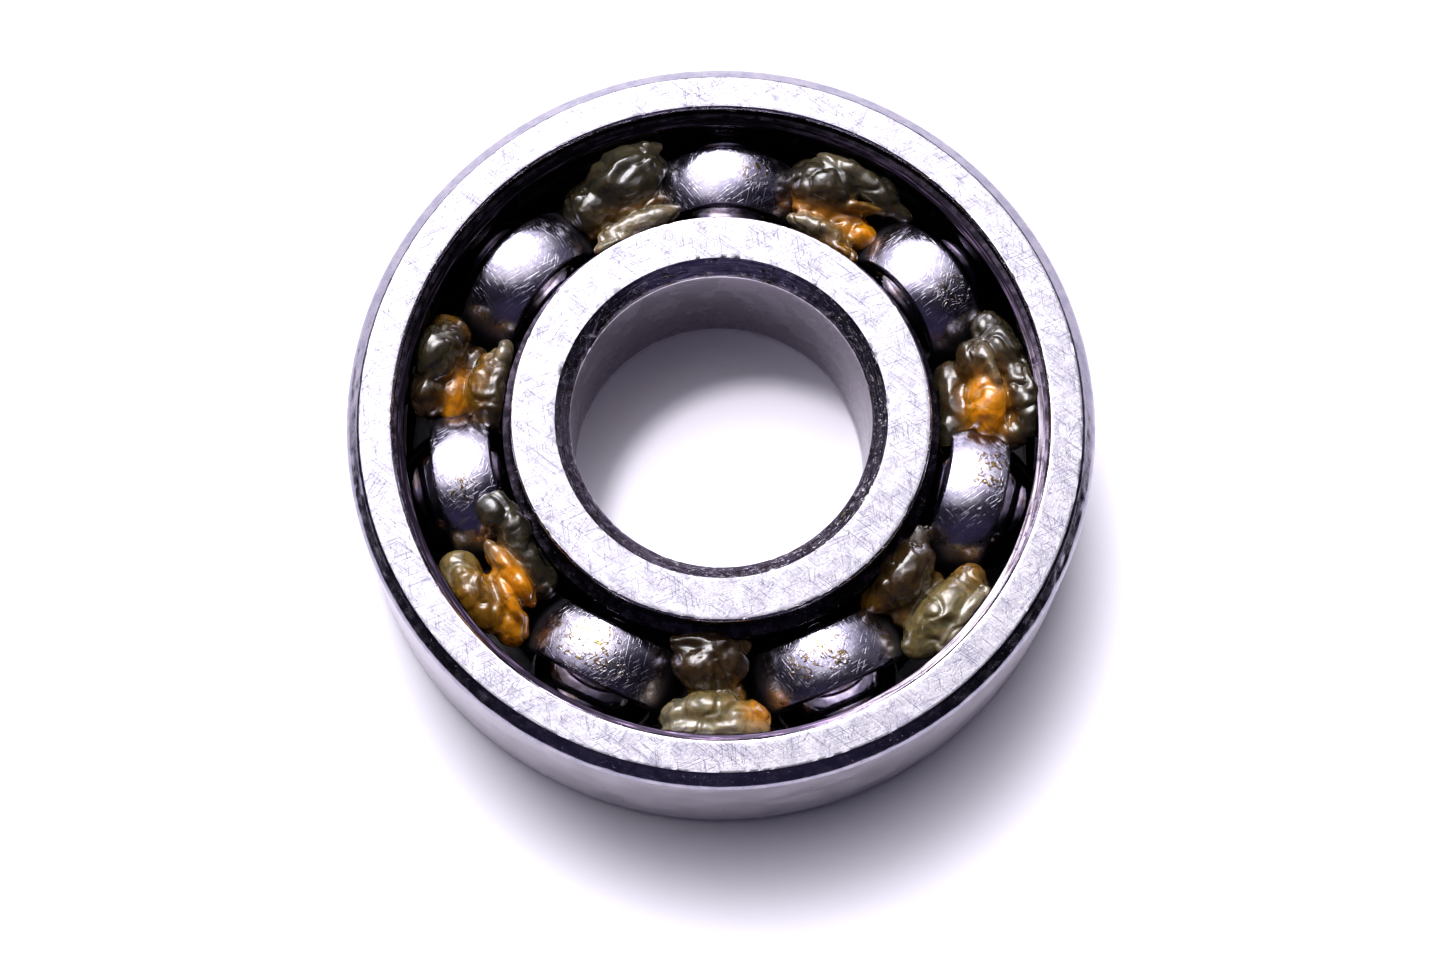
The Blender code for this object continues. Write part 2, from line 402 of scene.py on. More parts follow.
def worn_corner():
    """The outer corners: smooth tumbled metal, mottled, with small nicks along its edges."""
    s = Shader("ring_corner", (0.44, 0.42, 0.49), 0.22, 1.0)
    patch = s.noise(0.9, 4.0, 0.65)
    nicks = s.spread(s.noise(3.0, 3.0, 0.7), 0.66, 0.72)
    tone = s.mix(s.spread(patch, 0.36, 0.64), (0.26, 0.25, 0.31), (0.35, 0.33, 0.38))
    tone = s.mix(s.maths("MULTIPLY", nicks, 0.7), tone, (0.14, 0.12, 0.15))
    s.into(tone, "Base Color")
    s.into(s.spread(patch, 0.35, 0.65, 0.12, 0.20), "Roughness")
    relief = s.maths("SUBTRACT", s.maths("MULTIPLY", s.noise(4.0, 3.0, 0.6), 0.5), nicks)
    s.into(s.bump(relief, 0.012, 0.8), "Normal")
    return s.material


def ground_wall(name, colour, roughness):
    """A cylindrical ground wall: fine lines that run round it, a few pits and soft staining."""
    s = Shader(name, colour, roughness, 1.0)
    lines = s.noise(11.0, 2.0, 0.5, s.axes()["Z"])
    haze = s.noise(0.35, 3.0, 0.6)
    pits = s.spread(s.cell_distance(0.55), 0.10, 0.06)
    light, dark, lined = (tuple(channel * part for channel in colour) for part in (1.05, 0.93, 0.72))
    tone = s.mix(s.spread(haze, 0.35, 0.65), dark, light)
    tone = s.mix(s.spread(lines, 0.38, 0.62, 0.0, 0.35), tone, lined)
    tone = s.mix(s.maths("MULTIPLY", pits, 0.7), tone, (0.10, 0.09, 0.13))
    s.into(tone, "Base Color")
    s.into(s.spread(haze, 0.3, 0.7, roughness - 0.03, roughness + 0.05), "Roughness")
    relief = s.maths("SUBTRACT", s.maths("MULTIPLY", lines, 0.4), pits)
    s.into(s.bump(relief, 0.008, 0.6), "Normal")
    return s.material


def bore_chamfer():
    """The turned chamfers: scored round, dented, with black flakes and yellow grime from oil."""
    s = Shader("ring_chamfer", (0.34, 0.32, 0.36), 0.24, 1.0)
    scores = s.noise(1.0, 2.0, 0.5, s.round_marks(0.11, 14.0))
    dents = s.spread(s.noise(2.2, 3.0, 0.7), 0.62, 0.66)
    flakes = s.spread(s.noise(1.0, 3.0, 0.6, s.round_marks(0.30, 3.0)), 0.60, 0.66)
    grime = s.spread(s.noise(0.7, 4.0, 0.7), 0.54, 0.66)
    tone = s.mix(s.spread(scores, 0.36, 0.64), (0.48, 0.45, 0.54), (0.80, 0.77, 0.80))
    tone = s.mix(s.maths("MULTIPLY", flakes, 0.8), tone, (0.05, 0.045, 0.05))
    tone = s.mix(s.maths("MULTIPLY", grime, 0.6), tone, (0.20, 0.16, 0.07))
    tone = s.mix(s.maths("MULTIPLY", dents, 0.8), tone, (0.78, 0.76, 0.80))
    s.into(tone, "Base Color")
    s.into(s.spread(scores, 0.3, 0.7, 0.13, 0.22), "Roughness")
    relief = s.maths("SUBTRACT", s.maths("MULTIPLY", scores, 0.4), s.maths("ADD", dents, flakes))
    s.into(s.bump(relief, 0.016, 0.7), "Normal")
    return s.material


def seal_groove():
    """The groove under the rim and the step inside it: black steel under oil, with bright grit."""
    s = Shader("ring_groove", (0.05, 0.045, 0.06), 0.20, 1.0)
    film = s.noise(0.9, 4.0, 0.65)
    grit = s.spread(s.noise(3.6, 4.0, 0.75), 0.62, 0.68)
    tone = s.mix(s.spread(film, 0.40, 0.66), (0.030, 0.026, 0.036), (0.11, 0.09, 0.12))
    tone = s.mix(s.maths("MULTIPLY", grit, 0.6), tone, (0.50, 0.46, 0.44))
    s.into(tone, "Base Color")
    s.into(s.spread(film, 0.3, 0.7, 0.12, 0.30), "Roughness")
    s.into(s.bump(s.maths("ADD", film, grit), 0.03, 0.7), "Normal")
    return s.material


def seal_seat():
    """The narrow ledge for a seal, streaked round: black with oil and painted shade, and painted lighter
    on the lower right, where light falls on it past the rim.
    """
    s = Shader("ring_seat", (0.16, 0.15, 0.18), 0.24, 1.0)
    streaks = s.noise(1.0, 3.0, 0.6, s.round_marks(0.14, 9.0))
    stain = s.noise(1.1, 4.0, 0.7)
    # Painted light: the ledge is lighter on its lower right side, where light falls on it, and dark
    # elsewhere, where the rim shades it.
    lit_side_mask = s.maths("MULTIPLY", s.sector(-22, 24, 26), s.spread(stain, 0.66, 0.56))
    oil_and_shade = s.mix(s.spread(streaks, 0.50, 0.66), (0.025, 0.02, 0.03), (0.15, 0.11, 0.17))
    lit_side_tone = s.mix(s.spread(streaks, 0.38, 0.62), (0.04, 0.03, 0.035), (0.21, 0.19, 0.22))
    s.into(s.mix(lit_side_mask, oil_and_shade, lit_side_tone), "Base Color")
    s.into(s.spread(lit_side_mask, 0.0, 1.0, 0.12, 0.28), "Roughness")
    s.into(s.bump(s.maths("ADD", streaks, stain), 0.02, 0.6), "Normal")
    return s.material


def raceway():
    """The polished ball tracks under a film of oil, much darker in the lower half."""
    s = Shader("ring_raceway", (0.18, 0.17, 0.20), 0.07, 1.0)
    film = s.noise(0.7, 3.0, 0.6)
    # Much darker below the middle plane, along a wavy edge.
    darker_below = s.spread(s.maths("ADD", s.axes()["Z"], film), 0.5, -0.5)
    tone = s.mix(s.spread(film, 0.35, 0.65), (0.13, 0.12, 0.15), (0.22, 0.205, 0.25))
    s.into(s.mix(darker_below, tone, (0.018, 0.014, 0.014)), "Base Color")
    s.into(s.spread(film, 0.3, 0.7, 0.05, 0.14), "Roughness")
    s.into(s.bump(s.noise(6.0, 3.0, 0.6), 0.003, 0.4), "Normal")
    return s.material


def ball_steel():
    """Polished balls under a thin, uneven film of oil."""
    s = Shader("ball_polished", (0.58, 0.56, 0.61), 0.05, 1.0)
    film = s.noise(0.6, 3.0, 0.6)
    s.into(s.mix(s.spread(film, 0.40, 0.66), (0.60, 0.58, 0.64), (0.46, 0.41, 0.36)), "Base Color")
    s.into(s.spread(film, 0.35, 0.70, 0.03, 0.14), "Roughness")
    s.into(s.bump(s.noise(3.0, 3.0, 0.6), 0.004, 0.4), "Normal")
    return s.material


# Flecks of golden grease on the pockets: degrees, radius from the axis and reach, in millimetres
FLECKS = [
    (352.0, 22.6, 2.6),
    (242.5, 21.9, 3.4),
    (249.0, 23.0, 2.2),
    (289.5, 21.6, 2.0),
    (296.5, 21.2, 2.4),
    (32.0, 22.8, 2.2),
    (84.0, 22.4, 1.9),
    (197.5, 22.0, 1.6),
]
FLECK_Z = BALL_R + 0.9
RUST_TURN = 2.45
RUST_Z = CAGE_MIDDLE_R - 1.6


def golden_flecks(s):
    """1 on broken curls of golden grease near the places in FLECKS, and 0 elsewhere."""
    area = None
    for degrees, radius, reach in FLECKS:
        turn = math.radians(degrees)
        spot = (radius * math.cos(turn), radius * math.sin(turn), FLECK_Z)
        near = s.spread(s.vector("DISTANCE", s.mm, spot), reach, reach * 0.4)
        area = near if area is None else s.maths("MAXIMUM", area, near)
    curls = s.noise(0.62, 2.0, 0.5, distortion=2.4)
    band = s.maths("ABSOLUTE", s.maths("SUBTRACT", curls, 0.5))
    broken = s.spread(s.noise(1.6, 2.0, 0.5), 0.42, 0.52)
    return s.maths("MULTIPLY", s.spread(band, 0.046, 0.026), s.maths("MULTIPLY", area, broken))


def rust_spot(s):
    """1 on one ragged spot low on a pocket, and 0 elsewhere."""
    spot = (PITCH_R * math.cos(RUST_TURN), PITCH_R * math.sin(RUST_TURN), RUST_Z)
    apart = s.vector("DISTANCE", s.mm, spot)
    return s.spread(s.maths("ADD", apart, s.noise(2.5, 3.0)), 1.15, 0.75)


def pressed_steel():
    """The cage: tumbled, scuffed sheet with golden grease flecks, a rust spot, and painted shade low on
    the pockets and webs, which are dulled there with oil.
    """
    s = Shader("cage_pressed", (0.50, 0.48, 0.56), 0.22, 1.0)
    grain = s.noise(4.5, 4.0, 0.7)
    scuffs = s.maths("ADD", s.scratches(35, 1.2, 0.10, 0.7), s.scratches(-50, 1.0, 0.09, 0.7))
    scuffs = s.maths("ADD", scuffs, s.scratches(80, 1.3, 0.10, 0.6))
    haze = s.noise(0.5, 3.0, 0.6)
    flecks = golden_flecks(s)
    rust = rust_spot(s)
    height = s.maths("ADD", s.maths("ABSOLUTE", s.axes()["Z"]), s.noise(0.6, 3.0, 0.6))
    # Painted shade: the sheet is much darker low down, near the webs among the balls and grease, and
    # rougher there with oil.
    oil_and_shade = s.spread(height, 5.5, 3.2)
    tone = s.mix(s.spread(haze, 0.35, 0.65), (0.55, 0.53, 0.60), (0.40, 0.38, 0.48))
    tone = s.mix(s.spread(grain, 0.58, 0.74, 0.0, 0.5), tone, (0.26, 0.24, 0.33))
    tone = s.mix(s.maths("MULTIPLY", flecks, 0.92), tone, (0.24, 0.165, 0.035))
    tone = s.mix(s.maths("MULTIPLY", rust, 0.85), tone, (0.16, 0.035, 0.02))
    tone = s.mix(s.maths("MULTIPLY", oil_and_shade, 0.93), tone, (0.030, 0.025, 0.035))
    s.into(tone, "Base Color")
    rough = s.maths("ADD", s.spread(grain, 0.3, 0.7, 0.13, 0.25), s.maths("MULTIPLY", rust, 0.3))
    rough = s.maths("ADD", rough, s.maths("MULTIPLY", oil_and_shade, 0.4))
    s.into(rough, "Roughness")
    relief = s.maths("ADD", s.maths("MULTIPLY", grain, 0.22), s.maths("MULTIPLY", scuffs, 0.5))
    relief = s.maths("ADD", relief, s.maths("MULTIPLY", flecks, 3.0))
    s.into(s.bump(relief, 0.017, 0.9), "Normal")
    return s.material


def rivet_steel():
    """Headed rivets: grainy, duller steel than the cage."""
    s = Shader("rivet_headed", (0.52, 0.50, 0.55), 0.30, 1.0)
    grain = s.noise(5.0, 4.0, 0.7)
    s.into(s.mix(s.spread(grain, 0.35, 0.7), (0.34, 0.32, 0.38), (0.66, 0.64, 0.70)), "Base Color")
    s.into(s.spread(grain, 0.3, 0.7, 0.20, 0.42), "Roughness")
    s.into(s.bump(grain, 0.02, 0.7), "Normal")
    return s.material


def grease_material():
    """Soft translucent grease: its colour comes from the lumps, painted glow and painted sheen among
    them, with a wet skin and loose folds.
    """
    s = Shader("grease_amber", (0.30, 0.20, 0.05), 0.12, 0.0)
    tint = s.new("Attribute")
    tint.attribute_name = "tint"
    cloud = s.noise(0.7, 4.0, 0.6, distortion=1.0)
    veins = s.noise(1.5, 4.0, 0.65, distortion=2.0)
    tone = s.mix(s.spread(cloud, 0.38, 0.62), (0.72, 0.72, 0.74), (1.25, 1.2, 1.1))
    tone = s.mix(1.0, tint.outputs["Color"], tone, "MULTIPLY")
    tone = s.mix(s.spread(veins, 0.62, 0.74, 0.0, 0.4), tone, (0.24, 0.21, 0.14))
    s.into(tone, "Base Color")
    s.into(s.spread(veins, 0.3, 0.7, 0.05, 0.20), "Roughness")
    s.value("IOR", 1.4)
    s.value("Subsurface Weight", 0.5)
    s.value("Subsurface Radius", (1.0, 0.45, 0.10))
    s.value("Subsurface Scale", 1.6 * MM)
    s.value("Coat Weight", 1.0)
    s.value("Coat IOR", 1.55)
    s.value("Coat Roughness", 0.03)
    ridges = s.noise(0.55, 2.0, 0.45, distortion=1.4)
    crumpled = s.spread(s.noise(0.42, 2.0, 0.5), 0.54, 0.64)
    crumple = s.maths("MULTIPLY", s.noise(1.9, 2.0, 0.5, distortion=0.8), crumpled)
    relief = s.maths("ADD", ridges, s.maths("MULTIPLY", crumple, 0.8))
    s.into(s.bump(relief, 0.26, 0.6), "Normal")
    return s.material


# ---------------------------------------------------------------- rings

# A ring's zones, in the order of its materials
FACE, CORNER, WALL, CHAMFER, GROOVE, TRACK, SEAT = range(7)


def raceway_end(centre_r, shoulder_r):
    """Where a raceway's arc meets its shoulder: height above the middle plane, and degrees."""
    reach = math.sqrt(RACEWAY_R**2 - (shoulder_r - centre_r) ** 2)
    return reach, math.degrees(math.atan2(reach, shoulder_r - centre_r))


def make_outer_ring(materials):
    """From the outside wall over the corner and the face, down the seal groove to the raceway."""
    corner_r = OUTSIDE_R - OUTER_CORNER
    corner_z = FACE_Z - OUTER_CORNER - 0.25
    corner_arc = 0.8
    lip_top, lip_low = FACE_Z - 0.2, FACE_Z - 0.75
    groove_z = FACE_Z - 1.35
    seat_z, seat_arc = FACE_Z - 2.0, 0.12
    centre_r = OUTER_RACEWAY_BOTTOM - RACEWAY_R
    reach, shoulder_deg = raceway_end(centre_r, OUTER_SHOULDER_R)
    o = Outline()
    o.line((OUTSIDE_R, 0), (OUTSIDE_R, corner_z), 10, WALL)
    o.arc((OUTSIDE_R - corner_arc, corner_z), corner_arc, 0, 42, 6, CORNER, 0.4)
    o.line((OUTSIDE_R - 0.22, FACE_Z - 0.88), (corner_r + 0.14, FACE_Z - 0.10), 7, CORNER, 0.8)
    o.line((corner_r + 0.10, FACE_Z - 0.05), (corner_r, FACE_Z), 2, CORNER, 1.0)
    o.line((corner_r, FACE_Z), (OUTER_FACE_INNER_R + 0.12, FACE_Z), 12, FACE)
    o.arc((OUTER_FACE_INNER_R + 0.12, lip_top), FACE_Z - lip_top, 90, 180, 4, CHAMFER, 1.0)
    o.line((SEAL_LIP_R, lip_top - 0.05), (SEAL_LIP_R, lip_low), 3, GROOVE, 0.5)
    o.line((SEAL_LIP_R, lip_low - 0.05), (SEAL_GROOVE_R - 0.12, groove_z + 0.27), 3, GROOVE)
    o.arc((SEAL_GROOVE_R - 0.2, groove_z), 0.25, 80, -70, 7, GROOVE)
    o.line((SEAL_GROOVE_R - 0.12, groove_z - 0.27), (SEAL_LIP_R - 0.1, groove_z - 0.45), 4, GROOVE)
    o.line((SEAL_LIP_R - 0.15, seat_z + 0.16), (OUTER_SHOULDER_R + seat_arc, seat_z), 5, SEAT, 0.3)
    o.arc((OUTER_SHOULDER_R + seat_arc, seat_z - seat_arc), seat_arc, 90, 180, 4, SEAT, 0.3)
    o.line((OUTER_SHOULDER_R, seat_z - 0.2), (OUTER_SHOULDER_R, reach), 4, TRACK)
    o.arc((centre_r, 0), RACEWAY_R, shoulder_deg, 0, 18, TRACK)
    o.add((centre_r + RACEWAY_R, 0.0), TRACK)
    ring = lathe("outer_ring_turned", o.with_mirror(), materials, 0.07, 1)
    settle(ring, "outer_ring", ["outer_ring"])


def make_inner_ring(materials):
    """From the raceway over the shoulder's step to the face, then down the chamfer to the bore."""
    centre_r = INNER_RACEWAY_BOTTOM + RACEWAY_R
    reach, shoulder_deg = raceway_end(centre_r, INNER_SHOULDER_R)
    step_z = FACE_Z - 2.4
    rim_arc = 0.22
    chamfer_r, chamfer_z = BORE_R + BORE_CHAMFER, FACE_Z - BORE_CHAMFER
    o = Outline()
    o.arc((centre_r, 0), RACEWAY_R, 180, shoulder_deg, 18, TRACK)
    o.line((INNER_SHOULDER_R, reach), (INNER_SHOULDER_R, step_z - 0.35), 3, TRACK)
    o.line((INNER_SHOULDER_R - 0.05, step_z - 0.28), (INNER_STEP_R + 0.1, step_z), 4, GROOVE)
    o.line((INNER_STEP_R, step_z + 0.1), (INNER_STEP_R, FACE_Z - 0.3), 6, GROOVE, 0.4)
    o.arc((INNER_STEP_R - rim_arc, FACE_Z - rim_arc), rim_arc, 0, 80, 4, CHAMFER, 1.0)
    o.line((INNER_FACE_OUTER_R - 0.15, FACE_Z), (chamfer_r + 0.05, FACE_Z), 14, FACE)
    o.line((chamfer_r, FACE_Z - 0.01), (BORE_R + 0.12, chamfer_z + 0.08), 9, CHAMFER, 1.0)
    o.arc((BORE_R + 0.3, chamfer_z - 0.2), 0.3, 140, 180, 3, CHAMFER, 1.0)
    o.line((BORE_R, chamfer_z - 0.25), (BORE_R, 0), 10, WALL)
    o.add((BORE_R, 0.0), WALL)
    ring = lathe("inner_ring_turned", o.with_mirror(), materials, 0.10, 2)
    settle(ring, "inner_ring", ["inner_ring"])


# ---------------------------------------------------------------- balls, cage and rivets


def make_balls(material):
    for number, centre in enumerate(BALL_CENTRES):
        edit = bmesh.new()
        bmesh.ops.create_icosphere(edit, subdivisions=5, radius=BALL_R)
        verts = [tuple(v.co + centre) for v in edit.verts]
        faces = [[v.index for v in f.verts] for f in edit.faces]
        edit.free()
        ball = add_piece(f"ball_{number + 1}_polished", verts, faces, [material])
        settle(ball, f"ball_{number + 1}", [f"ball_{number + 1}"])


def pocket_section(offset):
    """A pocket's radius, its fillet's radius and the web's height, at a depth in the sheet."""
    web = CAGE_HALF_GAP + CAGE_SHEET / 2
    return CAGE_MIDDLE_R + offset, CAGE_FILLET - offset, web + offset


def sheet_point(radius, offset, share):
    """A point on the sheet, as (turn, up) from a pocket's middle. share runs from 0 at the
    pocket's crown to 1 at the middle of a web.
    """
    shell, fillet, web = pocket_section(offset)
    flat = math.sqrt(shell**2 - (radius - PITCH_R) ** 2)
    foot = math.sqrt((flat + fillet) ** 2 - (web + fillet) ** 2)
    tangent = math.atan2(web + fillet, foot)
    crown_share, fillet_share = 0.62, 0.86
    chord = 2 * math.sqrt(radius * PITCH_R)
    if share <= crown_share:
        angle = math.pi / 2 + (tangent - math.pi / 2) * share / crown_share
        return 2 * math.asin(flat * math.cos(angle) / chord), flat * math.sin(angle)
    if share <= fillet_share:
        part = (share - crown_share) / (fillet_share - crown_share)
        angle = tangent + math.pi + (math.pi / 2 - tangent) * part
        across = foot + fillet * math.cos(angle)
        return 2 * math.asin(across / chord), web + fillet + fillet * math.sin(angle)
    part = (share - fillet_share) / (1 - fillet_share)
    start = 2 * math.asin(foot / chord)
    return start + (BALL_STEP / 2 - start) * part, web


def sheet_border():
    """The sheet's cross-section as (radius, offset) points, with rounded edges."""
    flat_steps, round_steps = 14, 4
    half = CAGE_SHEET / 2
    left, right = CAGE_INNER_R + CAGE_EDGE, CAGE_OUTER_R - CAGE_EDGE
    low, high = CAGE_EDGE - half, half - CAGE_EDGE

    def flat(start, end, offset, steps):
        return [(start + (end - start) * step / flat_steps, offset) for step in steps]

    def rounded(centre_r, centre_o, start_deg, steps):
        angles = [math.radians(start_deg - 90 * step / round_steps) for step in steps]
        return [(centre_r + CAGE_EDGE * math.cos(a), centre_o + CAGE_EDGE * math.sin(a)) for a in angles]

    border = flat(left, right, half, range(flat_steps))
    border += rounded(right, high, 90, range(round_steps + 1))
    border += rounded(right, low, 0, range(round_steps + 1))
    border += flat(right, left, -half, range(1, flat_steps + 1))
    border += rounded(left, low, 270, range(1, round_steps + 1))
    border += rounded(left, high, 180, range(1, round_steps + 1))
    return border


def make_cage_half(name, node, side, material):
    """A pressed half: one rounded border swept round the ring, over every pocket and web. The
    pockets are a little wavy, as pressed sheet is.
    """
    steps = 36
    shares = [step / steps for step in range(-steps, steps)]
    border = sheet_border()
    count = len(border)
    verts = []
    for ball in range(BALLS):
        crown = FIRST_BALL + ball * BALL_STEP
        for share in shares:
            for radius, offset in border:
                turn, up = sheet_point(radius, offset, abs(share))
                angle = crown + math.copysign(turn, share)
                verts.append((radius * math.cos(angle), radius * math.sin(angle), side * up))
    verts = np.array(verts)
    wave = [noise.noise(Vector(v) * 0.35) * 0.5 + noise.noise(Vector(v) * 1.1) * 0.16 for v in verts]
    above_web = np.clip((np.abs(verts[:, 2]) - 2.0) / 3.0, 0, 1)
    verts[:, 2] += side * np.array(wave) * CAGE_WAVE * above_web
    total = len(verts) // count
    faces = []
    for row in range(total):
        after = (row + 1) % total
        for place in range(count):
            beside = (place + 1) % count
            near, far = row * count, after * count
            face = [near + place, near + beside, far + beside, far + place]
            faces.append(face if side < 0 else face[::-1])
    half = add_piece(name, verts, faces, [material], sharp=math.radians(50))
    settle(half, "cage", [node])


def web_angle(web):
    """The direction of a web's middle from the axis, in radians."""
    return FIRST_BALL + (web + 0.5) * BALL_STEP


def rivet_section():
    """The upper half of a rivet, from its crown down to the shank, as (radius, height) points."""
    head_r, shank_r, rise, corner = 1.6, 0.8, 0.75, 0.08
    dome_steps = 6
    web_top = CAGE_HALF_GAP + CAGE_SHEET
    section = []
    for step in range(dome_steps + 1):
        angle = math.radians(90 * step / dome_steps)
        section.append((head_r * math.sin(angle), web_top + rise * (0.35 + 0.65 * math.cos(angle))))
    return section + [(head_r, web_top + corner), (head_r - corner, web_top), (shank_r, web_top)]


def make_rivets(material):
    """Headed rivets, each a little out of round, with both heads down on the webs."""
    steps = 40
    upper = rivet_section()
    section = upper + [(r, -z) for r, z in reversed(upper)]
    rows = len(section) - 2
    top, bottom = rows * steps, rows * steps + 1
    faces = []
    for step in range(steps):
        after = (step + 1) % steps
        for row in range(rows - 1):
            near, far = row * steps, (row + 1) * steps
            faces.append([near + step, far + step, far + after, near + after])
        last = (rows - 1) * steps
        faces.append([step, after, top])
        faces.append([last + after, last + step, bottom])
    for number in range(BALLS):
        turn = web_angle(number)
        x, y = PITCH_R * math.cos(turn), PITCH_R * math.sin(turn)
        verts = []
        for r, z in section[1:-1]:
            for step in range(steps):
                angle = 2 * math.pi * step / steps
                place = Vector((math.cos(angle), math.sin(angle), number * 3.1))
                swell = r * (1 + 0.04 * noise.noise(place))
                verts.append((x + swell * math.cos(angle), y + swell * math.sin(angle), z))
        verts += [(x, y, section[0][1]), (x, y, section[-1][1])]
        rivet = add_piece(f"rivet_{number + 1}_headed", verts, faces, [material])
        settle(rivet, "cage", [f"rivet_{number + 1}"])


# ---------------------------------------------------------------- grease

# The orange colour is a painted glow where light shines through the grease, and the pale colour is a
# painted sheen on tops that face the light.
OLIVE = (0.038, 0.034, 0.022)
BROWN = (0.045, 0.028, 0.012)
AMBER = (0.16, 0.085, 0.010)
ORANGE_GLOW = (0.55, 0.235, 0.010)
PALE_SHEEN = (0.17, 0.150, 0.100)
STRAW = (0.15, 0.125, 0.055)

